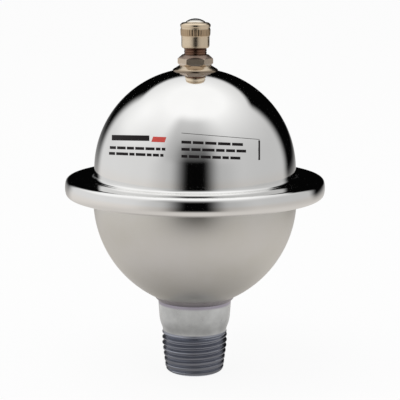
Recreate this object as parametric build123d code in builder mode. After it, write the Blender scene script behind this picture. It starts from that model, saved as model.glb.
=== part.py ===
from build123d import *
import os
from math import acos, asin, atan2, degrees, sqrt

# Diaphragm water hammer arrestor: two pressed steel domes hemmed together over a rubber
# diaphragm, a threaded nipple below and a tyre-type charging valve on top.
# Millimetres, +Z up. The origin is the centre of the nipple's end face and the camera side is -Y.
# Section sketches lie on Plane.XZ, so their X is the radius and their Y is the height.

# Pressed shells
sheet = 1.0
rim_z = 60.7
upper_dome_r = 32.1
upper_dome_z = rim_z + 5.5
root_fillet = 1.2
lower_dome_r = 35.1
lower_dome_offset = -2.65
lower_dome_z = rim_z - 4.1
flange_fillet = 1.0

# Rolled hem at the rim
rim_r = 41.4
rim_half = 2.9
rim_bulge_r = 7.5
rim_corner_r = 1.5
hem_lip_r = 36.6
flange_r = 39.6

# Rubber diaphragm, lying over the lower dome under the gas charge
membrane = 1.8
membrane_gap = 0.4
bead_inner_r = 34.0
bead_outer_r = 39.4
pad_bottom_z = 26.0
pad_thickness = 3.0

# Nipple with a half-inch pipe thread
bore_r = 7.0
bore_chamfer = 0.3
end_face_r = 8.0
end_round_r = 8.9
end_round_z = 0.55
lead_chamfer_r = 9.4
lead_chamfer_z = 1.45
thread_r = 10.48
thread_lead_z = 9.5
thread_top_z = 13.2
relief_r = 10.28
relief_z = 14.0
neck_shoulder_r = 11.4
neck_shoulder_z = 17.3
neck_top_r = 11.75
spigot_r = 9.5
spigot_top_z = 25.6
weld_r = 13.0

# Charging valve, outside
valve_hole_r = 4.1
stem_r = 3.85
stem_top_z = 110.0
stem_head_r = 6.5
stem_head_bottom_z = 93.6
stem_head_top_z = 95.4
neck_r = 3.55
neck_bottom_z = 102.75
neck_top_z = 104.4
washer_r = 7.15
washer_edge_z = 97.85
washer_cone_r = 6.3
washer_cone_z = 98.45
washer_top_r = 4.9
washer_top_z = 99.35
nut_across_flats = 9.7
nut_height = 3.25
nut_top_chamfer_r = 4.2
nut_top_chamfer_z = 1.25
nut_bottom_chamfer_r = 4.95
nut_bottom_chamfer_z = 0.55

# Screw cap
cap_bottom_z = 104.75
cap_mouth_r = 4.15
cap_sleeve_r = 4.44
cap_sleeve_top_z = 108.5
cap_knurl_r = 4.78
cap_groove_r = 4.6
cap_groove_z = 111.05
cap_shoulder_z = 112.1
cap_top_z = 112.65
cap_boss_r = 3.1
cap_boss_top_r = 3.0
cap_boss_top_z = 113.0
cap_crown_z = 113.95
cap_bore_r = 3.93
cap_bore_top_z = 111.3
knurl_teeth = 36
knurl_depth = 0.28
cap_seal_r = 3.6
cap_seal_bottom_z = 110.05
cap_seal_top_z = 111.25

# Valve core
core_thread_r = 2.55
core_thread_bottom_z = 104.4
seat_z = 103.6
seat_bottom_z = 102.4
core_bore_r = 1.95
barrel_r = 1.7
barrel_bore_r = 1.3
barrel_bottom_z = 100.4
barrel_lip_r = 0.75
barrel_lip = 0.4
plug_bottom_z = 104.8
plug_top_z = 109.2
plug_bore_r = 1.3
bridge_r = 0.7
pin_r = 0.5
pin_top_z = 109.8
collar_r = 1.15
collar_bottom_z = 104.2
collar_top_z = 104.6
plunger_r = 1.5
plunger_bottom_z = 98.9
plunger_top_z = 99.8
plunger_seal_top_z = 100.4
spring_wire = 0.26
spring_r = 0.9
spring_turns = 5

# The bend that closes the rim: the corner arcs are tangent to the flats and to the bulged face
corner_rise = rim_half - rim_corner_r
corner_reach = sqrt((rim_bulge_r - rim_corner_r) ** 2 - corner_rise**2)
corner_r = rim_r - rim_bulge_r + corner_reach
corner_angle = degrees(atan2(corner_rise, corner_reach))
rim_top_z = rim_z + rim_half
rim_bottom_z = rim_z - rim_half

# Fillet between the upper dome and its flange
root_z = rim_top_z + root_fillet
root_r = sqrt((upper_dome_r + root_fillet) ** 2 - (root_z - upper_dome_z) ** 2)
root_angle = degrees(atan2(root_z - upper_dome_z, root_r))

# Fillet between the lower dome and its flange
flange_z = rim_bottom_z + sheet
turn_z = flange_z - flange_fillet
turn_reach = sqrt((lower_dome_r + flange_fillet) ** 2 - (turn_z - lower_dome_z) ** 2)
turn_r = lower_dome_offset + turn_reach
turn_angle = degrees(atan2(turn_z - lower_dome_z, turn_reach))


def upper_dome_height(r, skin=0.0):
    """Height of the upper dome's surface at radius r, skin deep under the outside."""
    return upper_dome_z + sqrt((upper_dome_r - skin) ** 2 - r**2)


def lower_dome_height(r, skin=0.0):
    """Height of the lower dome's surface at radius r, skin deep under the outside."""
    return lower_dome_z - sqrt((lower_dome_r - skin) ** 2 - (r - lower_dome_offset) ** 2)


def lower_dome_radius(z, skin=0.0):
    """Radius of the lower dome's surface at height z, skin deep under the outside."""
    return lower_dome_offset + sqrt((lower_dome_r - skin) ** 2 - (z - lower_dome_z) ** 2)


def lower_dome_angle(r):
    """Angle of the lower dome's outer arc at radius r, below its centre."""
    return -degrees(acos((r - lower_dome_offset) / lower_dome_r))


# Upper shell: the filled outer outline less the same outline moved in by the sheet,
# which leaves the dome, its flange and the hem rolled under in one even thickness.
with BuildPart() as upper_shell:
    with BuildSketch(Plane.XZ):
        for skin, mode in ((0.0, Mode.ADD), (sheet, Mode.SUBTRACT)):
            with BuildLine():
                CenterArc((0, upper_dome_z), upper_dome_r - skin, root_angle, 90 - root_angle)
                CenterArc((root_r, root_z), root_fillet + skin, 180 + root_angle, 90 - root_angle)
                Line((root_r, rim_top_z - skin), (corner_r, rim_top_z - skin))
                CenterArc(
                    (corner_r, rim_top_z - rim_corner_r),
                    rim_corner_r - skin,
                    corner_angle,
                    90 - corner_angle,
                )
                CenterArc(
                    (rim_r - rim_bulge_r, rim_z), rim_bulge_r - skin, -corner_angle, 2 * corner_angle
                )
                CenterArc(
                    (corner_r, rim_bottom_z + rim_corner_r), rim_corner_r - skin, -90, 90 - corner_angle
                )
                Polyline(
                    (corner_r, rim_bottom_z + skin),
                    (0, rim_bottom_z + skin),
                    (0, upper_dome_z + upper_dome_r - skin),
                )
            make_face(mode=mode)
        with Locations((0, rim_bottom_z)):
            Rectangle(hem_lip_r, sheet, align=(Align.MIN, Align.MIN), mode=Mode.SUBTRACT)
    revolve(axis=Axis.Z)
    with Locations((0, 0, upper_dome_z + upper_dome_r)):
        Hole(valve_hole_r, 5)
upper_shell.part.label = "upper_shell"

# Lower shell: dome and flange, cut the same way, with the port for the nipple's spigot
with BuildPart() as lower_shell:
    with BuildSketch(Plane.XZ):
        for skin, mode in ((0.0, Mode.ADD), (sheet, Mode.SUBTRACT)):
            axis_angle = -degrees(acos(-lower_dome_offset / (lower_dome_r - skin)))
            with BuildLine():
                CenterArc(
                    (lower_dome_offset, lower_dome_z),
                    lower_dome_r - skin,
                    axis_angle,
                    turn_angle - axis_angle,
                )
                CenterArc((turn_r, turn_z), flange_fillet + skin, 90, 90 + turn_angle)
                Polyline(
                    (turn_r, flange_z + skin),
                    (0, flange_z + skin),
                    (0, lower_dome_height(0, skin)),
                )
            make_face(mode=mode)
            if mode is Mode.ADD:
                with Locations((0, flange_z)):
                    Rectangle(flange_r, sheet, align=(Align.MIN, Align.MIN))
    revolve(axis=Axis.Z)
    with Locations((0, 0, lower_dome_z - 20)):
        Hole(spigot_r, 20)
lower_shell.part.label = "lower_shell"

# Diaphragm: a clamped bead, a membrane that follows the lower dome and a thick pad over the port
membrane_outside = sheet + membrane_gap
membrane_inside = membrane_outside + membrane
pad_top_z = pad_bottom_z + pad_thickness
with BuildPart() as diaphragm:
    with BuildSketch(Plane.XZ):
        for skin, mode in ((membrane_outside, Mode.ADD), (membrane_inside, Mode.SUBTRACT)):
            axis_angle = -degrees(acos(-lower_dome_offset / (lower_dome_r - skin)))
            with BuildLine():
                CenterArc(
                    (lower_dome_offset, lower_dome_z),
                    lower_dome_r - skin,
                    axis_angle,
                    turn_angle - axis_angle,
                )
                CenterArc((turn_r, turn_z), flange_fillet + skin, 90, 90 + turn_angle)
                Polyline(
                    (turn_r, flange_z + skin),
                    (0, flange_z + skin),
                    (0, lower_dome_height(0, skin)),
                )
            make_face(mode=mode)
            if mode is Mode.ADD:
                with Locations((0, flange_z + membrane_outside)):
                    Rectangle(bead_inner_r + 0.5, membrane, align=(Align.MIN, Align.MIN))
                with Locations((bead_inner_r, flange_z + sheet)):
                    Rectangle(
                        bead_outer_r - bead_inner_r,
                        rim_top_z - flange_z - 2 * sheet,
                        align=(Align.MIN, Align.MIN),
                    )
        with BuildLine():
            Polyline(
                (0, pad_bottom_z),
                (lower_dome_radius(pad_bottom_z, membrane_outside) - 0.2, pad_bottom_z),
                (lower_dome_radius(pad_top_z, membrane_inside) + 0.2, pad_top_z),
                (0, pad_top_z),
                close=True,
            )
        make_face()
        with Locations((0, pad_bottom_z)):
            Rectangle(2 * lower_dome_r, 10, align=(Align.CENTER, Align.MAX), mode=Mode.SUBTRACT)
    revolve(axis=Axis.Z)
diaphragm.part.label = "diaphragm"

# Nipple: bored through, with a tapered lead on the thread, a relief and a neck that swells to the weld
seat_height = lower_dome_height(spigot_r)
with BuildPart() as threaded_nipple:
    with BuildSketch(Plane.XZ) as nipple_section:
        with BuildLine():
            Polyline(
                (bore_r, bore_chamfer),
                (bore_r + bore_chamfer, 0),
                (end_face_r, 0),
                (end_round_r, end_round_z),
                (lead_chamfer_r, lead_chamfer_z),
                (thread_r, thread_lead_z),
                (thread_r, thread_top_z),
                (relief_r, thread_top_z + 0.3),
                (relief_r, relief_z),
                (neck_shoulder_r, neck_shoulder_z),
                (neck_top_r, seat_height),
                (spigot_r, seat_height),
                (spigot_r, spigot_top_z),
                (bore_r, spigot_top_z),
                close=True,
            )
        make_face()
        shoulder = nipple_section.vertices().sort_by_distance((neck_shoulder_r, neck_shoulder_z))[0]
        fillet(shoulder, radius=6)
    revolve(axis=Axis.Z)
threaded_nipple.part.label = "threaded_nipple"

# Weld that fills the wedge between the nipple's shoulder and the lower dome
with BuildPart() as neck_weld:
    with BuildSketch(Plane.XZ):
        with BuildLine():
            Line((spigot_r, seat_height), (neck_top_r, seat_height))
            ThreePointArc(
                (neck_top_r, seat_height),
                (weld_r - 0.62, seat_height + 0.55),
                (weld_r, lower_dome_height(weld_r)),
            )
            CenterArc(
                (lower_dome_offset, lower_dome_z),
                lower_dome_r,
                lower_dome_angle(spigot_r),
                lower_dome_angle(weld_r) - lower_dome_angle(spigot_r),
            )
        make_face()
    revolve(axis=Axis.Z)
neck_weld.part.label = "neck_weld"

# Rubber gasket inside the dome, under the valve stem's head
gasket_start = degrees(acos(stem_head_r / (upper_dome_r - sheet)))
gasket_end = degrees(acos(stem_r / (upper_dome_r - sheet)))
with BuildPart() as valve_gasket:
    with BuildSketch(Plane.XZ):
        with BuildLine():
            CenterArc((0, upper_dome_z), upper_dome_r - sheet, gasket_start, gasket_end - gasket_start)
            Polyline(
                (stem_r, upper_dome_height(stem_r, sheet)),
                (stem_r, stem_head_top_z),
                (stem_head_r, stem_head_top_z),
                (stem_head_r, upper_dome_height(stem_head_r, sheet)),
            )
        make_face()
    revolve(axis=Axis.Z)
valve_gasket.part.label = "valve_gasket"

# Valve stem: head inside the dome, threaded shank through it, and the stepped bore for the core
with BuildPart() as valve_stem:
    with BuildSketch(Plane.XZ):
        with BuildLine():
            Polyline(
                (core_bore_r, stem_head_bottom_z),
                (stem_head_r - 0.5, stem_head_bottom_z),
                (stem_head_r, stem_head_bottom_z + 0.5),
                (stem_head_r, stem_head_top_z),
                (stem_r, stem_head_top_z),
                (stem_r, neck_bottom_z - stem_r + neck_r),
                (neck_r, neck_bottom_z),
                (neck_r, neck_top_z),
                (stem_r, neck_top_z + stem_r - neck_r),
                (stem_r, stem_top_z - 0.6),
                (stem_r - 0.5, stem_top_z),
                (core_thread_r + 0.2, stem_top_z),
                (core_thread_r, stem_top_z - 0.3),
                (core_thread_r, seat_z),
                (core_bore_r, seat_bottom_z),
                close=True,
            )
        make_face()
    revolve(axis=Axis.Z)
valve_stem.part.label = "valve_stem"

# Conical washer: its underside is the dome's own curve
washer_start = degrees(acos(washer_r / upper_dome_r))
washer_end = degrees(acos(stem_r / upper_dome_r))
with BuildPart() as valve_washer:
    with BuildSketch(Plane.XZ):
        with BuildLine():
            CenterArc((0, upper_dome_z), upper_dome_r, washer_start, washer_end - washer_start)
            Polyline(
                (stem_r, upper_dome_height(stem_r)),
                (stem_r, washer_top_z),
                (washer_top_r, washer_top_z),
                (washer_cone_r, washer_cone_z),
            )
            RadiusArc((washer_cone_r, washer_cone_z), (washer_r, washer_edge_z), 1.15)
            Line((washer_r, washer_edge_z), (washer_r, upper_dome_height(washer_r)))
        make_face()
    revolve(axis=Axis.Z)
valve_washer.part.label = "valve_washer"

# Hexagon nut, its corners turned off at both ends
nut_corner_r = nut_across_flats / sqrt(3)
with BuildPart() as valve_nut:
    with BuildSketch(Plane.XY.offset(washer_top_z)):
        RegularPolygon(nut_corner_r, 6)
        Circle(stem_r, mode=Mode.SUBTRACT)
    extrude(amount=nut_height)
    with BuildSketch(Plane.XZ):
        with BuildLine():
            Polyline(
                (0, washer_top_z),
                (nut_bottom_chamfer_r, washer_top_z),
                (nut_corner_r, washer_top_z + nut_bottom_chamfer_z),
                (nut_corner_r, washer_top_z + nut_height - nut_top_chamfer_z),
                (nut_top_chamfer_r, washer_top_z + nut_height),
                (0, washer_top_z + nut_height),
                close=True,
            )
        make_face()
    revolve(axis=Axis.Z, mode=Mode.INTERSECT)
valve_nut.part.label = "valve_nut"

# Core plug: threaded head with a slotted bridge that guides the pin
with BuildPart() as core_plug:
    with BuildSketch(Plane.XZ):
        with BuildLine():
            Polyline(
                (plug_bore_r, plug_bottom_z),
                (barrel_r, plug_bottom_z),
                (core_thread_r, core_thread_bottom_z + 1.2),
                (core_thread_r, plug_top_z - 0.9),
                (core_thread_r - 0.5, plug_top_z - 0.6),
                (core_thread_r - 0.5, plug_top_z),
                (plug_bore_r, plug_top_z),
                close=True,
            )
        make_face()
    revolve(axis=Axis.Z)
    with BuildSketch(Plane.XY.offset(plug_top_z - 1.2)):
        Rectangle(2 * plug_bore_r + 0.6, 2 * bridge_r)
        Circle(pin_r + 0.08, mode=Mode.SUBTRACT)
    extrude(amount=1.2)
core_plug.part.label = "core_plug"

# Core barrel: a tube with a lip at the foot that the spring stands on
with BuildPart() as core_barrel:
    with BuildSketch(Plane.XZ):
        with BuildLine():
            Polyline(
                (barrel_lip_r, barrel_bottom_z),
                (barrel_r - 0.2, barrel_bottom_z),
                (barrel_r, barrel_bottom_z + 0.2),
                (barrel_r, plug_bottom_z),
                (barrel_bore_r, plug_bottom_z),
                (barrel_bore_r, barrel_bottom_z + barrel_lip),
                (barrel_lip_r, barrel_bottom_z + barrel_lip),
                close=True,
            )
        make_face()
    revolve(axis=Axis.Z)
core_barrel.part.label = "core_barrel"

# Tapered seal ring round the barrel, pressed into the seat of the stem's bore
with BuildPart() as core_seal:
    with BuildSketch(Plane.XZ):
        with BuildLine():
            Polyline(
                (barrel_r, seat_bottom_z),
                (core_bore_r, seat_bottom_z),
                (core_thread_r, seat_z),
                (core_thread_r, seat_z + 0.3),
                (barrel_r, seat_z + 0.3),
                close=True,
            )
        make_face()
    revolve(axis=Axis.Z)
core_seal.part.label = "core_seal"

# Core pin with the collar that the spring pushes up
with BuildPart() as core_pin:
    with BuildSketch(Plane.XZ):
        with BuildLine():
            Polyline(
                (0, plunger_bottom_z + 0.3),
                (pin_r, plunger_bottom_z + 0.3),
                (pin_r, collar_bottom_z),
                (collar_r, collar_bottom_z),
                (collar_r, collar_top_z),
                (pin_r, collar_top_z),
                (pin_r, pin_top_z - 0.15),
                (pin_r - 0.15, pin_top_z),
                (0, pin_top_z),
                close=True,
            )
        make_face()
    revolve(axis=Axis.Z)
core_pin.part.label = "core_pin"

# Plunger cup on the foot of the pin, and the rubber ring that shuts against the barrel
with BuildPart() as core_plunger:
    with BuildSketch(Plane.XZ):
        with BuildLine():
            Polyline(
                (0, plunger_bottom_z),
                (plunger_r - 0.2, plunger_bottom_z),
                (plunger_r, plunger_bottom_z + 0.2),
                (plunger_r, plunger_top_z),
                (pin_r, plunger_top_z),
                (pin_r, plunger_bottom_z + 0.3),
                (0, plunger_bottom_z + 0.3),
                close=True,
            )
        make_face()
    revolve(axis=Axis.Z)
core_plunger.part.label = "core_plunger"

with BuildPart() as plunger_seal:
    with BuildSketch(Plane.XY.offset(plunger_top_z)):
        Circle(plunger_r - 0.1)
        Circle(pin_r, mode=Mode.SUBTRACT)
    extrude(amount=plunger_seal_top_z - plunger_top_z)
plunger_seal.part.label = "plunger_seal"

# Core spring: a wire helix between the barrel's lip and the pin's collar
spring_bottom_z = barrel_bottom_z + barrel_lip + spring_wire / 2
spring_length = collar_bottom_z - spring_wire / 2 - spring_bottom_z
with BuildPart() as core_spring:
    with BuildLine() as spring_path:
        Helix(spring_length / spring_turns, spring_length, spring_r, center=(0, 0, spring_bottom_z))
    with BuildSketch(Plane(origin=spring_path.line @ 0, z_dir=spring_path.line % 0)):
        Circle(spring_wire / 2)
    sweep(is_frenet=True)
core_spring.part.label = "core_spring"

# Screw cap: smooth sleeve, knurled band, grooved top ring and boss, bored for the stem
crown_rise = cap_crown_z - cap_boss_top_z
crown_r = (cap_boss_top_r**2 + crown_rise**2) / (2 * crown_rise)
crown_angle = degrees(asin(cap_boss_top_r / crown_r))
with BuildPart() as valve_cap:
    with BuildSketch(Plane.XZ):
        with BuildLine():
            Polyline(
                (cap_bore_r, cap_bottom_z),
                (cap_mouth_r, cap_bottom_z),
                (cap_sleeve_r, cap_bottom_z + 0.6),
                (cap_sleeve_r, cap_sleeve_top_z),
                (cap_knurl_r - 0.1, cap_sleeve_top_z + 0.3),
                (cap_knurl_r, cap_groove_z - 0.45),
                (cap_groove_r, cap_groove_z - 0.2),
                (cap_groove_r, cap_groove_z + 0.15),
                (cap_knurl_r, cap_groove_z + 0.4),
                (cap_knurl_r, cap_shoulder_z),
                (cap_boss_r + 1.05, cap_top_z),
                (cap_boss_r, cap_top_z),
                (cap_boss_top_r, cap_boss_top_z),
            )
            CenterArc((0, cap_crown_z - crown_r), crown_r, 90 - crown_angle, crown_angle)
            Polyline(
                (0, cap_crown_z),
                (0, cap_bore_top_z),
                (cap_bore_r, cap_bore_top_z),
                (cap_bore_r, cap_bottom_z),
            )
        make_face()
    revolve(axis=Axis.Z)
    knurl_height = cap_groove_z - 0.2 - cap_sleeve_top_z
    with BuildSketch(Plane.XY.offset(cap_sleeve_top_z)):
        with PolarLocations(cap_knurl_r + 0.02, knurl_teeth):
            RegularPolygon(knurl_depth, 3, rotation=180)
    extrude(amount=knurl_height, mode=Mode.SUBTRACT)
valve_cap.part.label = "valve_cap"

# Rubber disc in the cap's crown
with BuildPart() as cap_seal:
    with BuildSketch(Plane.XY.offset(cap_seal_bottom_z)):
        Circle(cap_seal_r)
    extrude(amount=cap_seal_top_z - cap_seal_bottom_z)
cap_seal.part.label = "cap_seal"

os.makedirs("parts", exist_ok=True)
export_step(upper_shell.part, "parts/upper_shell.step")
export_step(lower_shell.part, "parts/lower_shell.step")
export_step(diaphragm.part, "parts/diaphragm.step")
export_step(threaded_nipple.part, "parts/threaded_nipple.step")
export_step(neck_weld.part, "parts/neck_weld.step")
export_step(valve_gasket.part, "parts/valve_gasket.step")
export_step(valve_stem.part, "parts/valve_stem.step")
export_step(valve_washer.part, "parts/valve_washer.step")
export_step(valve_nut.part, "parts/valve_nut.step")
export_step(core_plug.part, "parts/core_plug.step")
export_step(core_barrel.part, "parts/core_barrel.step")
export_step(core_seal.part, "parts/core_seal.step")
export_step(core_pin.part, "parts/core_pin.step")
export_step(core_plunger.part, "parts/core_plunger.step")
export_step(plunger_seal.part, "parts/plunger_seal.step")
export_step(core_spring.part, "parts/core_spring.step")
export_step(valve_cap.part, "parts/valve_cap.step")
export_step(cap_seal.part, "parts/cap_seal.step")
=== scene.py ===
import random
from math import acos, asin, atan2, cos, degrees, exp, hypot, pi, radians, sin, sqrt

import bmesh
import bpy
from mathutils import Matrix, Vector


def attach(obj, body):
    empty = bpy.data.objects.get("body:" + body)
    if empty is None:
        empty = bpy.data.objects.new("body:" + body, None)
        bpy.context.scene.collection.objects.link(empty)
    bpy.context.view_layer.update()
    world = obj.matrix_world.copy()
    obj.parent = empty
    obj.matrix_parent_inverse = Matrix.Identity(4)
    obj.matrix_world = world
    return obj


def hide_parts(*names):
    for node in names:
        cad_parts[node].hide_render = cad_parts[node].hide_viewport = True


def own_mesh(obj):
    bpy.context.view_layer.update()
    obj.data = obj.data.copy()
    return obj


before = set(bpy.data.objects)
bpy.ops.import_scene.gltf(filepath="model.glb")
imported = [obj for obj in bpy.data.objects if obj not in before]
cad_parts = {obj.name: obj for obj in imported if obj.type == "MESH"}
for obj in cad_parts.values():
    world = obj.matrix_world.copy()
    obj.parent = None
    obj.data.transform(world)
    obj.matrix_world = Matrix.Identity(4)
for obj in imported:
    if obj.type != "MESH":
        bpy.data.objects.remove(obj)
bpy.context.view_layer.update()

# Everything below is in millimetres until it becomes a vertex.
MM = 0.001

# Pressed shells
SHEET = 1.0
RIM_Z = 60.7
UPPER_R = 32.1
UPPER_Z = RIM_Z + 5.5
ROOT_FILLET = 1.2
LOWER_R = 35.1
LOWER_OFFSET = -2.65
LOWER_Z = RIM_Z - 4.1
FLANGE_FILLET = 1.0
FLANGE_R = 39.6
PORT_R = 9.5
VALVE_HOLE_R = 4.1

# Rolled hem
RIM_R = 41.4
RIM_HALF = 2.9
RIM_BULGE_R = 7.5
RIM_CORNER_R = 1.5
HEM_LIP_R = 36.6

# Nipple and its pipe thread
BORE_R = 7.0
THREAD_R = 10.48
THREAD_PITCH = 1.814
THREAD_DEPTH = 1.162
THREAD_PHASE = 0.6
SPIGOT_TOP_Z = 25.6
NECK_TOP_R = 11.75
WELD_R = 13.0

# Charging valve
STEM_R = 3.85
STEM_TOP_Z = 110.0
VALVE_PITCH = 0.794
VALVE_THREAD_DEPTH = 0.42
WASHER_R = 7.15
WASHER_TOP_Z = 99.35
CAP_BORE_R = 3.93
CAP_BORE_TOP_Z = 111.3
CROWN_EDGE_R = 3.0
CROWN_EDGE_Z = 113.0
CROWN_Z = 113.95
KNURL_TEETH = 36
KNURL_DEPTH = 0.12

# Camera: distance from the axis, height over the rim, sideways shift, pitch and roll
CAMERA_DISTANCE = 500.0
CAMERA_OVER_RIM = 82.27
CAMERA_SIDE = 1.61
CAMERA_PITCH = 9.854
CAMERA_ROLL = 0.2
CAMERA_FOCAL_PX = 1586.1
PHOTO_PX = 400


# Outlines

def arc(centre_r, centre_z, radius, start, sweep, steps):
    """Points along an arc, angles in degrees."""
    angles = [radians(start + sweep * i / steps) for i in range(steps + 1)]
    return [(centre_r + radius * cos(a), centre_z + radius * sin(a)) for a in angles]


def tidy(points, gap=1e-5):
    """The points without the ones that repeat their neighbour."""
    kept = []
    for p in points:
        if not kept or abs(p[0] - kept[-1][0]) + abs(p[1] - kept[-1][1]) > gap:
            kept.append(p)
    return kept


corner_rise = RIM_HALF - RIM_CORNER_R
corner_reach = sqrt((RIM_BULGE_R - RIM_CORNER_R) ** 2 - corner_rise**2)
corner_r = RIM_R - RIM_BULGE_R + corner_reach
corner_angle = degrees(atan2(corner_rise, corner_reach))
root_z = RIM_Z + RIM_HALF + ROOT_FILLET
root_r = sqrt((UPPER_R + ROOT_FILLET) ** 2 - (root_z - UPPER_Z) ** 2)
root_angle = degrees(atan2(root_z - UPPER_Z, root_r))
flange_z = RIM_Z - RIM_HALF + SHEET
turn_z = flange_z - FLANGE_FILLET
turn_reach = sqrt((LOWER_R + FLANGE_FILLET) ** 2 - (turn_z - LOWER_Z) ** 2)
turn_r = LOWER_OFFSET + turn_reach
turn_angle = degrees(atan2(turn_z - LOWER_Z, turn_reach))


def upper_skin(skin):
    """The upper shell's surface, skin deep, from the valve hole to the hem's lip."""
    dome_r = UPPER_R - skin
    hole = degrees(acos(VALVE_HOLE_R / dome_r))
    top, bottom = RIM_Z + RIM_HALF, RIM_Z - RIM_HALF
    points = arc(0, UPPER_Z, dome_r, hole, root_angle - hole, 72)
    points += arc(root_r, root_z, ROOT_FILLET + skin, 180 + root_angle, 90 - root_angle, 10)
    points += [(root_r + (corner_r - root_r) * i / 4, top - skin) for i in range(1, 5)]
    points += arc(corner_r, top - RIM_CORNER_R, RIM_CORNER_R - skin, 90, corner_angle - 90, 10)
    points += arc(RIM_R - RIM_BULGE_R, RIM_Z, RIM_BULGE_R - skin, corner_angle, -2 * corner_angle, 10)
    points += arc(corner_r, bottom + RIM_CORNER_R, RIM_CORNER_R - skin, -corner_angle, corner_angle - 90, 10)
    points += [(HEM_LIP_R, bottom + skin)]
    return tidy(points)


def lower_skin(skin):
    """The lower shell's surface, skin deep, from the port to the flange's edge."""
    dome_r = LOWER_R - skin
    port = -degrees(acos((PORT_R - LOWER_OFFSET) / dome_r))
    points = arc(LOWER_OFFSET, LOWER_Z, dome_r, port, turn_angle - port, 64)
    points += arc(turn_r, turn_z, FLANGE_FILLET + skin, 180 + turn_angle, -90 - turn_angle, 10)
    points += [(FLANGE_R, flange_z + skin)]
    return tidy(points)


def lower_height(r):
    """Height of the lower dome's outside at radius r."""
    return LOWER_Z - sqrt(LOWER_R**2 - (r - LOWER_OFFSET) ** 2)


def upper_height(r):
    """Height of the upper dome's outside at radius r."""
    return UPPER_Z + sqrt(UPPER_R**2 - r**2)


# Meshes

def finish_mesh(name, bm, material, body, replaced=(), sharp=32):
    """Turns a bmesh into a piece that rides on a body."""
    bmesh.ops.remove_doubles(bm, verts=bm.verts, dist=2e-7)
    bmesh.ops.recalc_face_normals(bm, faces=bm.faces)
    mesh = bpy.data.meshes.new(name)
    bm.to_mesh(mesh)
    bm.free()
    mesh.shade_smooth()
    mesh.set_sharp_from_angle(angle=radians(sharp))
    mesh.materials.append(material)
    piece = bpy.data.objects.new(name, mesh)
    bpy.context.scene.collection.objects.link(piece)
    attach(piece, body)
    if replaced:
        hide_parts(*replaced)
    return piece


def skin_rows(bm, rows, closed):
    """Quads between rows of vertices that run round the axis; closed joins the last row to the first."""
    pairs = list(zip(rows, rows[1:]))
    if closed:
        pairs.append((rows[-1], rows[0]))
    for low, high in pairs:
        for i in range(len(low) - 1):
            corners = [low[i], low[i + 1], high[i + 1], high[i]]
            bm.faces.new(corners)


def turned(outline, segments, shape=None, closed=True):
    """A bmesh turned from an outline of (r, z). shape(r, z, angle) may move a point in or out."""
    bm = bmesh.new()
    rows = []
    for r, z in outline:
        row = []
        for i in range(segments + 1):
            angle = 2 * pi * i / segments
            rr = shape(r, z, angle) if shape else r
            row.append(bm.verts.new((rr * cos(angle) * MM, rr * sin(angle) * MM, z * MM)))
        rows.append(row)
    skin_rows(bm, rows, closed)
    return bm


def arc_through(first, middle, last, steps):
    """Points along the circle through three points, from first over middle to last."""
    (ax, ay), (bx, by), (cx, cy) = first, middle, last
    spread_ = 2 * (ax * (by - cy) + bx * (cy - ay) + cx * (ay - by))
    a2, b2, c2 = ax**2 + ay**2, bx**2 + by**2, cx**2 + cy**2
    ox = (a2 * (by - cy) + b2 * (cy - ay) + c2 * (ay - by)) / spread_
    oy = (a2 * (cx - bx) + b2 * (ax - cx) + c2 * (bx - ax)) / spread_
    start, end = degrees(atan2(ay - oy, ax - ox)), degrees(atan2(cy - oy, cx - ox))
    return arc(ox, oy, hypot(ax - ox, ay - oy), start, end - start, steps)


def step_between(low, high, x):
    """0 below low, 1 above high, smooth between."""
    t = min(max((x - low) / (high - low), 0.0), 1.0)
    return t * t * (3 - 2 * t)


def height_on(outline, z):
    """Radius at height z on an outline that climbs steadily."""
    for (r0, z0), (r1, z1) in zip(outline, outline[1:]):
        if z0 <= z <= z1:
            return r0 + (r1 - r0) * (z - z0) / max(z1 - z0, 1e-9)
    return outline[-1][0] if z > outline[-1][1] else outline[0][0]


def thread_groove(turns):
    """Depth of a rounded 55 degree thread, 0 on the crest and 1 in the root."""
    away = abs(turns - round(turns)) * 2
    flank = min(max((away - 0.13) / 0.74, 0.0), 1.0)
    return 0.75 * flank + 0.25 * (0.5 - 0.5 * cos(pi * away))


def threaded(envelope, rest, pitch, phase, depth, crest_r, lead, fade_from, fade_to, segments, rows_a_turn):
    """A closed turned bmesh whose rising envelope carries a right-hand helix.

    The rows of the threaded stretch run along the helix, so its crest is one clean edge. The rows
    that would pass an end of the stretch are held at it, and merge there. Below the height in lead
    the roots taper inward, by that much a millimetre.
    """
    bottom, top = envelope[0][1], envelope[-1][1]
    lead_z, taper = lead
    bm = bmesh.new()
    rows = []
    count = round((top - bottom + pitch) / pitch * rows_a_turn)
    for j in range(count + 1):
        start = bottom - pitch + (top - bottom + pitch) * j / count
        row = []
        for i in range(segments + 1):
            angle = 2 * pi * i / segments
            z = min(max(start + pitch * i / segments, bottom), top)
            fade = 1 - step_between(fade_from, fade_to, z)
            groove = crest_r - depth * thread_groove((start + phase) / pitch) * fade
            groove -= taper * max(lead_z - z, 0.0)
            r = min(height_on(envelope, z), groove)
            row.append(bm.verts.new((r * cos(angle) * MM, r * sin(angle) * MM, z * MM)))
        rows.append(row)
    for r, z in rest:
        rows.append(
            [
                bm.verts.new((r * cos(2 * pi * i / segments) * MM, r * sin(2 * pi * i / segments) * MM, z * MM))
                for i in range(segments + 1)
            ]
        )
    skin_rows(bm, rows, True)
    bmesh.ops.remove_doubles(bm, verts=bm.verts, dist=2e-7)
    bmesh.ops.dissolve_degenerate(bm, edges=bm.edges, dist=1e-7)
    return bm


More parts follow.
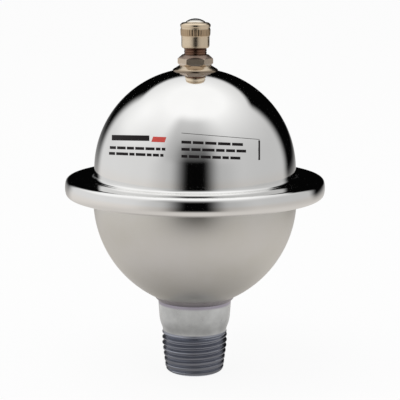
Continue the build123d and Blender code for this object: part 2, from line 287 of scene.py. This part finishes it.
def coil(wire_r, coil_r, bottom, top, turns):
    """A closed bmesh of a wire wound round the axis."""
    bm = bmesh.new()
    steps, sides = turns * 24, 8
    rings = []
    for j in range(steps + 1):
        angle = 2 * pi * turns * j / steps
        z = bottom + (top - bottom) * j / steps
        ring = []
        for i in range(sides):
            r = coil_r + wire_r * cos(2 * pi * i / sides)
            up = wire_r * sin(2 * pi * i / sides)
            ring.append(bm.verts.new((r * cos(angle) * MM, r * sin(angle) * MM, (z + up) * MM)))
        rings.append(ring)
    for low, high in zip(rings, rings[1:]):
        for i in range(sides):
            bm.faces.new([low[i - 1], low[i], high[i], high[i - 1]])
    for end in (rings[0], rings[-1]):
        bm.faces.new(end)
    return bm


# Materials

def new_material(name):
    """An empty node material with its Principled shader and its nodes and links."""
    material = bpy.data.materials.new(name)
    material.use_nodes = True
    nodes, links = material.node_tree.nodes, material.node_tree.links
    return material, nodes, links, nodes["Principled BSDF"]


def noise(nodes, links, scale, detail=4.0, rough=0.55, stretch=(1, 1, 1)):
    """A noise texture in object space, its space stretched first."""
    place = nodes.new("ShaderNodeTexCoord")
    mapping = nodes.new("ShaderNodeMapping")
    mapping.inputs["Scale"].default_value = stretch
    texture = nodes.new("ShaderNodeTexNoise")
    texture.inputs["Scale"].default_value = scale
    texture.inputs["Detail"].default_value = detail
    texture.inputs["Roughness"].default_value = rough
    links.new(place.outputs["Object"], mapping.inputs["Vector"])
    links.new(mapping.outputs["Vector"], texture.inputs["Vector"])
    return texture.outputs["Fac"]


def ramp(nodes, links, value, stops):
    """A colour ramp through (position, colour) stops."""
    node = nodes.new("ShaderNodeValToRGB")
    while len(node.color_ramp.elements) < len(stops):
        node.color_ramp.elements.new(0.5)
    for element, (position, colour) in zip(node.color_ramp.elements, stops):
        element.position = position
        element.color = (*colour, 1)
    links.new(value, node.inputs["Fac"])
    return node.outputs["Color"]


def spread(nodes, links, value, low, high):
    """value from 0.3..0.7 mapped to low..high."""
    node = nodes.new("ShaderNodeMapRange")
    node.inputs["From Min"].default_value = 0.3
    node.inputs["From Max"].default_value = 0.7
    node.inputs["To Min"].default_value = low
    node.inputs["To Max"].default_value = high
    links.new(value, node.inputs["Value"])
    return node.outputs["Result"]


def bump(nodes, links, shader, value, distance, strength=1.0, under=None):
    """A bump of that distance in metres, over another bump if one is given."""
    node = nodes.new("ShaderNodeBump")
    node.inputs["Distance"].default_value = distance
    node.inputs["Strength"].default_value = strength
    links.new(value, node.inputs["Height"])
    if under:
        links.new(under, node.inputs["Normal"])
    links.new(node.outputs["Normal"], shader.inputs["Normal"])
    return node.outputs["Normal"]


def band(nodes, links, low, high, soft):
    """1 between two heights, in millimetres, fading over soft outside them."""
    place = nodes.new("ShaderNodeTexCoord")
    split = nodes.new("ShaderNodeSeparateXYZ")
    links.new(place.outputs["Object"], split.inputs["Vector"])
    edges = []
    for clear, full in ((low - soft, low), (high + soft, high)):
        edge = nodes.new("ShaderNodeMapRange")
        edge.interpolation_type = "SMOOTHSTEP"
        edge.inputs["From Min"].default_value = clear * MM
        edge.inputs["From Max"].default_value = full * MM
        links.new(split.outputs["Z"], edge.inputs["Value"])
        edges.append(edge.outputs["Result"])
    both = nodes.new("ShaderNodeMath")
    both.operation = "MULTIPLY"
    links.new(edges[0], both.inputs[0])
    links.new(edges[1], both.inputs[1])
    return both.outputs["Value"]


def mix_in_colour(nodes, links, shader, where, colour):
    """Mixes a colour into the base colour where the mask says; it carries stains and also painted shade and
    highlights.
    """
    mix = nodes.new("ShaderNodeMix")
    mix.data_type = "RGBA"
    before = shader.inputs["Base Color"].links[0].from_socket
    links.new(where, mix.inputs["Factor"])
    links.new(before, mix.inputs[6])
    mix.inputs[7].default_value = (*colour, 1)
    links.new(mix.outputs[2], shader.inputs["Base Color"])


def metal(name, dark, light, rough, grain=900, lines=0.0, dents=0.0, grain_depth=2e-6, stain_and_painted_light_bands=(), patches=45):
    """A metal whose colour and roughness drift a little, with grain, turning lines and shallow dents, and bands of
    colour by height: stains, and painted shade and highlights.
    """
    material, nodes, links, shader = new_material(name)
    shader.inputs["Metallic"].default_value = 1.0
    drift = noise(nodes, links, patches)
    links.new(ramp(nodes, links, drift, [(0.3, dark), (0.7, light)]), shader.inputs["Base Color"])
    for low, high, soft, colour in stain_and_painted_light_bands:
        mix_in_colour(nodes, links, shader, band(nodes, links, low, high, soft), colour)
    links.new(spread(nodes, links, drift, *rough), shader.inputs["Roughness"])
    normal = None
    if dents:
        normal = bump(nodes, links, shader, noise(nodes, links, 30, 2.0), dents)
    if lines:
        normal = bump(nodes, links, shader, noise(nodes, links, 1, 3.0, 0.6, (40, 40, 9000)), lines, 1.0, normal)
    bump(nodes, links, shader, noise(nodes, links, grain, 2.0), grain_depth, 1.0, normal)
    return material


def coating(name, colour, rough, grain=1500, shine=0.5):
    """Ink or rubber: a dull surface with a fine grain."""
    material, nodes, links, shader = new_material(name)
    shader.inputs["Specular IOR Level"].default_value = shine
    drift = noise(nodes, links, 260)
    deep = tuple(c * 0.8 for c in colour)
    links.new(ramp(nodes, links, drift, [(0.3, deep), (0.7, colour)]), shader.inputs["Base Color"])
    links.new(spread(nodes, links, drift, rough - 0.08, rough + 0.08), shader.inputs["Roughness"])
    bump(nodes, links, shader, noise(nodes, links, grain, 2.0), 4e-6)
    return material


# The polished steel's band, darker purplish grey from about 96 to 100 mm high, is painted shade on the dome around the
# washer's foot.
polished = metal("polished_steel", (0.865, 0.862, 0.85), (0.91, 0.908, 0.90), (0.05, 0.09), dents=5e-6, grain_depth=2e-7,
                 stain_and_painted_light_bands=[(97.2, 99.0, 1.2, (0.60, 0.585, 0.59))])
zinc = metal("satin_zinc", (0.70, 0.69, 0.645), (0.77, 0.762, 0.75), (0.32, 0.42), dents=1e-5, grain_depth=2e-6)
# Turned zinc: the threaded stretch is coloured darker and bluer, and the purplish dark band at the neck's top, beside
# the weld, is a painted dark reflection.
nipple_zinc = metal(
    "turned_zinc", (0.56, 0.585, 0.60), (0.82, 0.855, 0.88), (0.26, 0.36), lines=3e-6, patches=150,
    stain_and_painted_light_bands=[(-1.0, 13.6, 0.5, (0.375, 0.395, 0.455)), (23.1, 26.0, 0.8, (0.45, 0.43, 0.52))],
)
weld_metal = metal("weld_metal", (0.36, 0.34, 0.37), (0.52, 0.50, 0.53), (0.30, 0.44), grain=420, grain_depth=8e-6)
# Turned brass: the dark brown band from 102.6 to 104.9 mm, on the stem between nut and cap, is the cap's painted
# shadow.
brass = metal(
    "turned_brass", (0.64, 0.52, 0.36), (0.80, 0.69, 0.51), (0.18, 0.28), lines=2e-6,
    stain_and_painted_light_bands=[(102.6, 104.9, 0.1, (0.20, 0.11, 0.075))],
)
# Nut brass: darker brown over the nut's chamfered top, and paler along its foot.
nut_brass = metal(
    "nut_brass", (0.60, 0.49, 0.38), (0.74, 0.63, 0.51), (0.32, 0.42), lines=1e-6,
    stain_and_painted_light_bands=[(101.7, 103.0, 0.4, (0.31, 0.235, 0.195)), (99.0, 99.8, 0.3, (0.78, 0.67, 0.56))],
)
# Cap brass: a browner band over the knurling, a darker ring on the top shoulder, a pale ring at the crown's edge that
# is a painted highlight, and darker grey over the crown's top.
cap_brass = metal(
    "cap_brass", (0.74, 0.60, 0.43), (0.84, 0.71, 0.54), (0.20, 0.30), lines=1.5e-6,
    stain_and_painted_light_bands=[
        (108.7, 110.6, 0.25, (0.50, 0.37, 0.24)), (112.5, 112.8, 0.08, (0.60, 0.51, 0.39)),
        (112.95, 113.35, 0.1, (0.88, 0.85, 0.78)), (113.45, 114.1, 0.12, (0.27, 0.27, 0.26)),
    ],
)
# Washer brass: the dark band over the washer's edge is painted shade where it meets the dome.
washer_brass = metal(
    "washer_brass", (0.56, 0.46, 0.34), (0.72, 0.61, 0.47), (0.14, 0.22), lines=1e-6,
    stain_and_painted_light_bands=[(97.0, 98.0, 0.2, (0.35, 0.28, 0.21))],
)
core_steel = metal("core_steel", (0.50, 0.50, 0.52), (0.62, 0.62, 0.64), (0.2, 0.3))
rubber = coating("black_rubber", (0.035, 0.035, 0.036), 0.62)
dark_ink = coating("dark_ink", (0.012, 0.009, 0.010), 0.5, shine=0.15)
red_ink = coating("red_ink", (0.62, 0.06, 0.045), 0.42)


# Vessel

upper = upper_skin(0.0) + upper_skin(SHEET)[::-1]
finish_mesh("upper_shell_visual", turned(upper, 256), polished, "vessel", ["upper_shell"])

lower = lower_skin(0.0) + lower_skin(SHEET)[::-1]
finish_mesh("lower_shell_visual", turned(lower, 256), zinc, "vessel", ["lower_shell"])

seat_z = lower_height(PORT_R)
thread_stretch = [
    (8.0, 0.0), (8.5, 0.26), (8.9, 0.55), (9.2, 0.95), (9.4, 1.45), (THREAD_R, 9.5), (THREAD_R, 13.2),
    (10.28, 13.5), (10.28, 13.9),
]
neck_blend = [
    (10.30, 14.15), (10.38, 14.47), (10.57, 15.10), (10.80, 15.70), (10.98, 16.20), (11.12, 16.75),
    (11.24, 17.30), (11.34, 17.85), (11.40, 18.40), (11.46, 19.20), (11.54, 20.30), (11.63, 21.60),
]
nipple_rest = neck_blend + [
    (NECK_TOP_R, seat_z),
    (PORT_R, seat_z),
    (PORT_R, SPIGOT_TOP_Z),
    (BORE_R, SPIGOT_TOP_Z),
    (BORE_R, 0.3),
    (BORE_R + 0.3, 0.0),
]
nipple = threaded(
    thread_stretch, nipple_rest, THREAD_PITCH, THREAD_PHASE, THREAD_DEPTH, THREAD_R, (9.5, 0.055), 12.0, 13.5, 160, 16
)
finish_mesh("nipple_visual", nipple, nipple_zinc, "vessel", ["threaded_nipple"], sharp=42)

weld_face = arc_through(
    (NECK_TOP_R, seat_z), (WELD_R - 0.62, seat_z + 0.55), (WELD_R, lower_height(WELD_R)), 12
)
weld = [(PORT_R, seat_z)] + weld_face + [(11.2, lower_height(11.2))]


def weld_ripple(r, z, angle):
    """The weld's bead swells a little with each of its ripples."""
    ripple = 0.025 * sin(46 * angle) + 0.02 * sin(19 * angle + 1)
    return r + ripple * step_between(NECK_TOP_R, WELD_R - 0.5, r)


finish_mesh("weld_visual", turned(weld, 256, weld_ripple), weld_metal, "vessel", ["neck_weld"])


# Charging valve

stem_shank = [
    (STEM_R, 95.4), (STEM_R, 102.45), (STEM_R - 0.3, 102.75), (STEM_R - 0.3, 104.4), (STEM_R, 104.7),
    (STEM_R, 109.4), (STEM_R - 0.5, STEM_TOP_Z),
]
stem_bore = [
    (2.75, STEM_TOP_Z), (2.55, 109.7), (2.55, 103.6), (1.95, 102.4), (1.95, 93.6),
    (6.0, 93.6), (6.5, 94.1), (6.5, 95.4),
]
stem = threaded(stem_shank, stem_bore, VALVE_PITCH, 0.0, VALVE_THREAD_DEPTH, STEM_R, (0.0, 0.0), 109.0, 109.9, 72, 10)
finish_mesh("stem_visual", stem, brass, "vessel", ["valve_stem"], sharp=42)

washer_start, washer_end = (degrees(acos(r / UPPER_R)) for r in (STEM_R, WASHER_R))
washer = arc(0, UPPER_Z, UPPER_R, washer_start, washer_end - washer_start, 6) + [
    (7.17, 97.62), (7.16, 97.78), (7.08, 97.93), (6.86, 98.15), (6.60, 98.32), (6.30, 98.47),
    (5.60, 98.91), (5.10, 99.22), (4.95, 99.31), (4.80, WASHER_TOP_Z), (STEM_R, WASHER_TOP_Z),
]
finish_mesh("washer_visual", turned(washer, 128), washer_brass, "vessel", ["valve_washer"], sharp=50)

crown_rise = CROWN_Z - CROWN_EDGE_Z
crown_r = (CROWN_EDGE_R**2 + crown_rise**2) / (2 * crown_rise)
crown_angle = degrees(asin(CROWN_EDGE_R / crown_r))
sleeve = [
    (CAP_BORE_R, 104.75), (4.08, 104.75), (4.18, 104.82), (4.36, 105.15), (4.42, 105.40),
    (4.44, 105.80), (4.44, 107.00), (4.45, 108.30), (4.50, 108.48), (4.62, 108.66), (4.68, 108.85),
    (4.72, 109.50), (4.76, 110.40), (4.72, 110.62), (4.62, 110.82), (4.60, 111.00), (4.62, 111.20),
    (4.74, 111.40), (4.78, 111.55), (4.78, 111.98), (4.72, 112.16), (4.45, 112.42), (4.22, 112.60),
    (4.08, 112.66), (3.20, 112.68), (3.08, 112.76),
]
crown = arc(0, CROWN_Z - crown_r, crown_r, 90 - crown_angle, crown_angle, 10)
cap_inside = [(0.0, CAP_BORE_TOP_Z), (CAP_BORE_R, CAP_BORE_TOP_Z)]


def knurl(r, z, angle):
    """Straight knurling, cut into the widest band of the cap."""
    within = step_between(108.5, 108.8, z) * (1 - step_between(110.45, 110.75, z))
    tooth = abs((angle * KNURL_TEETH / (2 * pi)) % 1 - 0.5) * 2
    return r - KNURL_DEPTH * tooth * within if r > CAP_BORE_R + 0.2 else r


finish_mesh("cap_visual", turned(sleeve + crown + cap_inside, KNURL_TEETH * 6, knurl), cap_brass, "cap",
            ["valve_cap"], sharp=38)

for node, material in {
    "valve_nut": nut_brass,
    "core_plug": brass,
    "core_barrel": brass,
    "core_plunger": brass,
    "core_pin": core_steel,
    "diaphragm": rubber,
    "valve_gasket": rubber,
    "core_seal": rubber,
    "plunger_seal": rubber,
    "cap_seal": rubber,
}.items():
    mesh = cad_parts[node].data
    mesh.materials.clear()
    mesh.materials.append(material)


spring = finish_mesh("spring_visual", coil(0.13, 0.9, 100.93, 104.07, 5), core_steel, "vessel",
                     ["core_spring"])
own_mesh(spring)


# Camera

camera_data = bpy.data.cameras.new("camera")
camera_data.sensor_width = 36
camera_data.lens = 36 * CAMERA_FOCAL_PX / PHOTO_PX
camera_data.clip_start = 0.01
camera = bpy.data.objects.new("camera", camera_data)
camera_at = Vector((CAMERA_SIDE, -CAMERA_DISTANCE, RIM_Z + CAMERA_OVER_RIM)) * MM
camera_turn = Matrix.Rotation(radians(90 - CAMERA_PITCH), 4, "X") @ Matrix.Rotation(radians(CAMERA_ROLL), 4, "Z")
camera.matrix_world = Matrix.Translation(camera_at) @ camera_turn
bpy.context.scene.collection.objects.link(camera)
bpy.context.scene.camera = camera


# Print: plain bars, dashes and one red shape, laid on the dome where the photograph has print

PRINT_LIFT = 0.03
PRINT_THICKNESS = 0.02


def on_dome(x, y, lift):
    """The point of the upper dome, raised by lift, that the camera sees at pixel (x, y)."""
    ray = camera_turn.to_3x3() @ Vector((x - PHOTO_PX / 2, PHOTO_PX / 2 - y, -CAMERA_FOCAL_PX))
    ray.normalize()
    start = camera_at / MM - Vector((0, 0, UPPER_Z))
    along = start.dot(ray)
    reach = along**2 - start.length_squared + (UPPER_R + lift) ** 2
    return (start + ray * (-along - sqrt(reach)) + Vector((0, 0, UPPER_Z))) * MM


def bar(bm, x0, y0, x1, y1, thick, lean=0.0):
    """A flat bar between two pixels, thick pixels high, as a closed plate that follows the dome."""
    across = max(2, round((x1 - x0) / 3))
    layers = []
    for lift in (PRINT_LIFT, PRINT_LIFT + PRINT_THICKNESS):
        grid = []
        for j in range(3):
            row = []
            for i in range(across + 1):
                t, up = i / across, (j / 2 - 0.5) * thick
                x, y = x0 + (x1 - x0) * t - lean * up, y0 + (y1 - y0) * t + up
                row.append(bm.verts.new(on_dome(x, y, lift)))
            grid.append(row)
        layers.append(grid)
    low, high = layers
    for j in range(2):
        for i in range(across):
            bm.faces.new([high[j][i], high[j][i + 1], high[j + 1][i + 1], high[j + 1][i]])
            bm.faces.new([low[j][i], low[j + 1][i], low[j + 1][i + 1], low[j][i + 1]])
    edge = [(0, i) for i in range(across)] + [(j, across) for j in range(2)]
    edge += [(2, i) for i in range(across, 0, -1)] + [(j, 0) for j in range(2, 0, -1)]
    for (j0, i0), (j1, i1) in zip(edge, edge[1:] + edge[:1]):
        bm.faces.new([low[j0][i0], low[j1][i1], high[j1][i1], high[j0][i0]])


def dashes(bm, x0, y0, x1, y1, thick, low, high, gap, seed):
    """A row of dashes of uneven length from one pixel to another."""
    draw = random.Random(seed)
    x = x0
    while x < x1 - low / 2:
        length = min(draw.uniform(low, high), x1 - x)
        ya, yb = (y0 + (y1 - y0) * (q - x0) / (x1 - x0) for q in (x, x + length))
        bar(bm, x, ya, x + length, yb, thick)
        x += length + gap


dark = bmesh.new()
bar(dark, 111.8, 137.6, 149.2, 138.2, 5.4)
dashes(dark, 109.8, 147.5, 165.3, 149.2, 2.8, 4.0, 12.0, 1.4, 3)
dashes(dark, 109.0, 153.3, 163.4, 155.4, 2.8, 4.0, 12.0, 1.4, 8)
dashes(dark, 181.4, 142.0, 243.6, 144.6, 2.8, 4.5, 13.0, 1.6, 5)
dashes(dark, 181.4, 149.2, 247.2, 151.2, 2.8, 4.5, 13.0, 1.6, 11)
dashes(dark, 181.4, 156.2, 240.4, 158.2, 2.8, 4.5, 13.0, 1.6, 21)
bar(dark, 181.5, 133.0, 259.6, 139.4, 0.4)
bar(dark, 258.5, 150.2, 260.1, 150.2, 19.6)
finish_mesh("print_dark_visual", dark, dark_ink, "vessel")

red = bmesh.new()
bar(red, 152.2, 139.2, 165.4, 139.7, 5.2, 0.35)
finish_mesh("print_red_visual", red, red_ink, "vessel")


# Stage: a pale floor, a white world, the studio's cards as the metal reflects them, and one soft lamp

def rays_that_see_white(nodes, links):
    """1 for camera, glossy and transmission rays."""
    path = nodes.new("ShaderNodeLightPath")
    total = path.outputs["Is Camera Ray"]
    for kind in ("Is Glossy Ray", "Is Transmission Ray"):
        either = nodes.new("ShaderNodeMath")
        either.operation = "MAXIMUM"
        links.new(total, either.inputs[0])
        links.new(path.outputs[kind], either.inputs[1])
        total = either.outputs["Value"]
    return total


world = bpy.data.worlds.new("studio")
bpy.context.scene.world = world
world.use_nodes = True
world_nodes, world_links = world.node_tree.nodes, world.node_tree.links
background = world_nodes["Background"]
background.inputs["Color"].default_value = (1, 1, 1, 1)
strength = world_nodes.new("ShaderNodeMapRange")
strength.inputs["To Min"].default_value = 0.75
strength.inputs["To Max"].default_value = 1.0
world_links.new(rays_that_see_white(world_nodes, world_links), strength.inputs["Value"])
world_links.new(strength.outputs["Result"], background.inputs["Strength"])

FLOOR_WHITE_SHARE = 0.9
floor_material, nodes, links, shader = new_material("pale_floor")
shader.inputs["Base Color"].default_value = (0.93, 0.93, 0.93, 1)
shader.inputs["Roughness"].default_value = 0.9
shader.inputs["Specular IOR Level"].default_value = 0.0
glow = nodes.new("ShaderNodeEmission")
share = nodes.new("ShaderNodeMath")
share.operation = "MULTIPLY"
share.inputs[1].default_value = FLOOR_WHITE_SHARE
blend = nodes.new("ShaderNodeMixShader")
links.new(rays_that_see_white(nodes, links), share.inputs[0])
links.new(share.outputs["Value"], blend.inputs["Fac"])
links.new(shader.outputs["BSDF"], blend.inputs[1])
links.new(glow.outputs["Emission"], blend.inputs[2])
links.new(blend.outputs["Shader"], nodes["Material Output"].inputs["Surface"])

floor_mesh = bpy.data.meshes.new("floor")
FLOOR_HALF = 6.0
floor_mesh.from_pydata(
    [(-FLOOR_HALF, -FLOOR_HALF, 0), (FLOOR_HALF, -FLOOR_HALF, 0), (FLOOR_HALF, FLOOR_HALF, 0), (-FLOOR_HALF, FLOOR_HALF, 0)],
    [],
    [(0, 1, 2, 3)],
)
floor_mesh.materials.append(floor_material)
floor = bpy.data.objects.new("floor", floor_mesh)
bpy.context.scene.collection.objects.link(floor)


def window(x, clear_low, full_low, full_high, clear_high):
    """1 between full_low and full_high, fading to 0 at clear_low and clear_high."""
    return step_between(clear_low, full_low, x) * (1 - step_between(full_high, clear_high, x))


def surround_tone(azimuth, elevation):
    """Tone of the studio's cards in a direction. Azimuth 0 is the camera's side, and right is positive."""
    lean_right = 0.095 - 0.11 * step_between(12, 25, -elevation)
    low = 0.655 - lean_right * sin(radians(azimuth))
    climb = min(max((elevation - 15) / 51, 0.0), 1.0) ** 1.8
    tone = low + (1.06 - low) * climb
    tone += 0.18 * exp(-(((azimuth + 106) / 30) ** 2)) * window(elevation, 12, 32, 45, 65)
    tone *= 1 - 0.37 * window(azimuth, -50, -25, 0, 50) * window(elevation, 10, 20, 58, 72)
    tone *= 1 - 0.25 * window(azimuth, -58, -24, 22, 58) * window(elevation, -26, -17, 10, 20)
    camera_side = window(azimuth, -30, -7.5, 9, 30) * step_between(-23.5, -17.5, elevation)
    camera_side *= 1 - 0.23 * step_between(15.5, 19, elevation) - 0.77 * step_between(20, 50, elevation)
    behind = azimuth % 360
    left_of, right_of = max(behind - 187, 0), max(187 - behind, 0)
    bottom = max(-2 - 0.4 * left_of, -8) - 0.15 * right_of
    soft = 7 + min(0.7 * left_of, 11)
    top = 39 - 0.028 * (behind - 170)
    back = window(behind, 114, 130, 213, 231) * window(elevation, bottom - soft, bottom + soft, top, top + 5)
    return 0.0015 + tone * (1 - camera_side) * (1 - back)


def floor_shade(r):
    """The object's own soft shade on the floor, as the metal above it sees it."""
    return 0.4 + 0.6 * step_between(0, 80, r) ** 0.7


SURROUND_R = 900.0
SURROUND_FLOOR_Z = 0.4
surround_rows = [(SURROUND_R * cos(radians(e)), RIM_Z + SURROUND_R * sin(radians(e))) for e in
                 [90 - 2.5 * i for i in range(38)]]
surround_rows += [(r, SURROUND_FLOOR_Z) for r in
                  (890, 700, 500, 350, 250, 200, 170, 150, 140, 130, 120, 110, 100, 85, 70, 60, 50, 40, 30, 20, 12, 0)]
surround_bm = turned(surround_rows, 144, closed=False)
bmesh.ops.remove_doubles(surround_bm, verts=surround_bm.verts, dist=1e-6)
surround_mesh = bpy.data.meshes.new("surround")
surround_bm.to_mesh(surround_mesh)
surround_bm.free()
tones = surround_mesh.color_attributes.new("tone", "FLOAT_COLOR", "POINT")
for vertex, entry in zip(surround_mesh.vertices, tones.data):
    x, y, z = (c / MM for c in vertex.co)
    elevation = degrees(atan2(z - RIM_Z, hypot(x, y)))
    tone = surround_tone(degrees(atan2(x, -y)), elevation)
    warmth = step_between(0, 15, -elevation)
    if z < SURROUND_FLOOR_Z + 0.1:
        tone *= floor_shade(hypot(x, y))
    entry.color = (tone, tone * (1 - 0.045 * warmth), tone * (1 - 0.09 * warmth), 1)
surround_material, nodes, links, shader = new_material("studio_cards")
nodes.remove(shader)
card = nodes.new("ShaderNodeEmission")
tone_node = nodes.new("ShaderNodeAttribute")
tone_node.attribute_name = "tone"
links.new(tone_node.outputs["Color"], card.inputs["Color"])
links.new(card.outputs["Emission"], nodes["Material Output"].inputs["Surface"])
surround_material.cycles.emission_sampling = "NONE"
surround_mesh.materials.append(surround_material)
surround = bpy.data.objects.new("surround", surround_mesh)
surround.visible_camera = False
surround.visible_diffuse = False
surround.visible_shadow = False
surround.visible_transmission = False
bpy.context.scene.collection.objects.link(surround)

lamp_data = bpy.data.lights.new("soft_lamp", "AREA")
lamp_data.shape = "DISK"
lamp_data.size = 1.0
lamp_data.energy = 3.0
lamp = bpy.data.objects.new("soft_lamp", lamp_data)
lamp.location = (-0.3, -0.3, 1.1)
lamp.rotation_euler = (Vector((0, 0, RIM_Z * MM)) - lamp.location).to_track_quat("-Z", "Y").to_euler()
lamp.visible_glossy = False
bpy.context.scene.collection.objects.link(lamp)

bpy.context.scene.view_settings.view_transform = "Standard"

bpy.context.view_layer.update()
